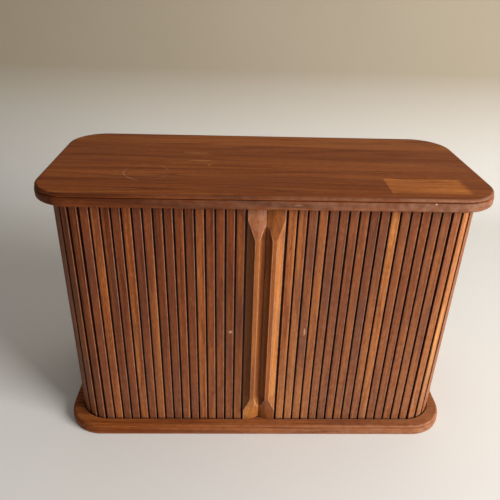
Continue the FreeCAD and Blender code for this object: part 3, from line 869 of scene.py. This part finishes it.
def dress(piece, finish):
    piece.data.materials.clear()
    piece.data.materials.append(finish.material)


canvas = {
    "threads": 260.0,
    "slubs": 420.0,
    "shadow": colour(0.24, 0.17, 0.10),
    "cotton": colour(0.50, 0.40, 0.27),
    "weaveTint": 0.5,
    "slubTint": 0.4,
    "rough": 0.8,
    "slubRough": 0.15,
    "bumpStrength": 0.6,
    "bumpDistance": 0.0003,
}

steel = {
    "mottle": 900.0,
    "dull": colour(0.42, 0.41, 0.38),
    "bright": colour(0.62, 0.61, 0.58),
    "rough": 0.28,
    "mottleRough": 0.25,
    "bumpStrength": 0.2,
    "bumpDistance": 0.0001,
}


def canvasFinish():
    finish = Finish("cottonCanvas")
    place = finish.own()
    warp, weft = (finish.node("TexWave", {"bands_direction": way, "wave_profile": "SIN"}, out=1,
                              Vector=place, Scale=canvas["threads"]) for way in ("X", "Z"))
    slub = finish.noise(place, canvas["slubs"], 3.0)
    weave = warp * 0.5 + weft * 0.5
    lit = weave * canvas["weaveTint"] + slub * canvas["slubTint"]
    tint = finish.mix(lit, canvas["shadow"], canvas["cotton"])
    bump = finish.node("Bump", Strength=canvas["bumpStrength"], Distance=canvas["bumpDistance"],
                       Height=weave)
    finish.set(Base_Color=tint, Roughness=canvas["rough"] + slub * canvas["slubRough"], Normal=bump)
    return finish


def steelFinish():
    finish = Finish("zincSteel")
    mottle = finish.noise(finish.own(), steel["mottle"], 3.0)
    tint = finish.mix(mottle, steel["dull"], steel["bright"])
    bump = finish.node("Bump", Strength=steel["bumpStrength"], Distance=steel["bumpDistance"],
                       Height=mottle)
    rough = steel["rough"] + mottle * steel["mottleRough"]
    finish.set(Base_Color=tint, Metallic=1.0, Roughness=rough, Normal=bump)
    return finish


dress(topBoard, topTeak())
dress(baseBoard, plainTeak("baseTeak", "board"))
slatFinish = slatTeak()
for piece in slatPieces:
    dress(piece, slatFinish)
handleFinish = plainTeak("handleTeak", "handle")
for piece in handles:
    dress(piece, handleFinish)

# The solids that show as they are: the first word that a node's name holds says its finish
carried = [
    ("canvas", canvasFinish()),
    ("screws", steelFinish()),
    ("side_panel", plainTeak("sideTeak", "side")),
    ("back_panel", plainTeak("panelTeak", "back")),
]
for name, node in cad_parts.items():
    finish = next((finish for word, finish in carried if word in name), None)
    if finish:
        dress(node, finish)
print("finishes made")

studio = {
    "floorColour": colour(0.76, 0.76, 0.75),
    "wallColour": colour(0.33, 0.28, 0.207),
    "wallFrom": (0.01, 0.32),  # the heights where the floor's colour ends and the wall's is full
    "patchColour": colour(0.55, 0.52, 0.48),
    "patchScale": 3.0,
    "patchStrength": 0.08,
    "rough": 0.75,
    "beyond": colour(0.40, 0.36, 0.30),
    "even": colour(0.9, 0.9, 0.9),
    "world": 0.20,
    "halfWidth": 20.0,
    "front": -3.0,
    "wall": 1.1,
    "rise": 2.4,
    "sweep": 0.5,
    # name: power, place, where it points, size and tint
    "lights": {
        "keyLight": (108.0, (2.0, -1.35, 1.15), (0, 0, 0.2), (1.4, 1.4), (1.0, 0.96, 0.90)),
        "fillLight": (0.8, (-1.2, -1.3, 0.9), (0, 0, 0.2), (1.2, 1.2), (1.0, 0.97, 0.92)),
        "topLight": (3.0, (0.1, 0.3, 1.7), (0, 0, 0.3), (1.2, 0.8), (1.0, 0.95, 0.88)),
    },
}

# The camera, worked out from where the slats and boards stand in the picture
view = {
    "place": (-0.040465, -0.689309, 0.615948),
    "right": (0.99941337, -0.02202287, 0.02622787),
    "up": (-0.0126222, 0.47505864, 0.87986361),
    "back": (-0.0318369, -0.87967851, 0.47450198),
    "lens": 38.2225,
    "sensor": 36.0,
}


def stageFinish():
    # pale floor, turning to a beige wall as the sweep rises
    finish = Finish("paleStage")
    place = finish.own()
    height = finish.node("SeparateXYZ", out=2, Vector=place)
    patch = finish.noise(place, studio["patchScale"], 2.0)
    rising = finish.steps(height, *studio["wallFrom"])
    tint = finish.mix(rising, studio["floorColour"], studio["wallColour"])
    tint = finish.mix(patch * studio["patchStrength"], tint, studio["patchColour"])
    finish.set(Base_Color=tint, Roughness=studio["rough"])
    return finish


def makeStage():
    # a pale floor that sweeps up into a backdrop behind
    turn, deep = studio["sweep"], studio["wall"]
    line = [(studio["front"], 0.0), (deep - turn, 0.0)]
    for degrees in range(6, 91, 6):
        angle = math.radians(degrees)
        line.append((deep - turn + turn * math.sin(angle), turn - turn * math.cos(angle)))
    line.append((deep, studio["rise"]))
    points = [(x, y, z) for y, z in line for x in (-studio["halfWidth"], studio["halfWidth"])]
    faces = [(2 * k, 2 * k + 1, 2 * k + 3, 2 * k + 2) for k in range(len(line) - 1)]
    floor = meshPiece("floorSweep", points, faces, 60.0)
    dress(floor, stageFinish())


def addLight(name, energy, place, aim, size, tint):
    data = bpy.data.lights.new(name, "AREA")
    data.energy = energy
    data.shape = "RECTANGLE"
    data.size, data.size_y = size
    data.color = tint
    lamp = bpy.data.objects.new(name, data)
    bpy.context.scene.collection.objects.link(lamp)
    lamp.location = place
    lamp.rotation_euler = (Vector(aim) - Vector(place)).to_track_quat("-Z", "Y").to_euler()
    lamp.visible_camera = False


def makeWorld():
    # an even light on the object, with a beige room where a ray meets no wall
    world = bpy.data.worlds.new("room")
    world.use_nodes = True
    room = Nodes(world.node_tree)
    paths = room.node("LightPath").socket.node.outputs
    camera, glossy, clear = (Wire(paths["Is %s Ray" % kind]) for kind in ("Camera", "Glossy", "Transmission"))
    even = room.node("Background", Color=studio["even"], Strength=studio["world"])
    beyond = room.node("Background", Color=studio["beyond"], Strength=1.0)
    chosen = room.node("MixShader", i0=camera.most(glossy).most(clear), i1=even, i2=beyond)
    plug(world.node_tree.nodes["World Output"].inputs["Surface"], chosen)
    bpy.context.scene.world = world


def makeCamera():
    data = bpy.data.cameras.new("camera")
    data.sensor_width = view["sensor"]
    data.lens = view["lens"]
    camera = bpy.data.objects.new("camera", data)
    bpy.context.scene.collection.objects.link(camera)
    turn = Matrix([view[way] for way in ("right", "up", "back")]).transposed().to_4x4()
    camera.matrix_world = Matrix.Translation(view["place"]) @ turn
    bpy.context.scene.camera = camera


makeStage()
for name, settings in studio["lights"].items():
    addLight(name, *settings)
makeWorld()
bpy.context.scene.view_settings.view_transform = "Standard"
makeCamera()
print("studio made")
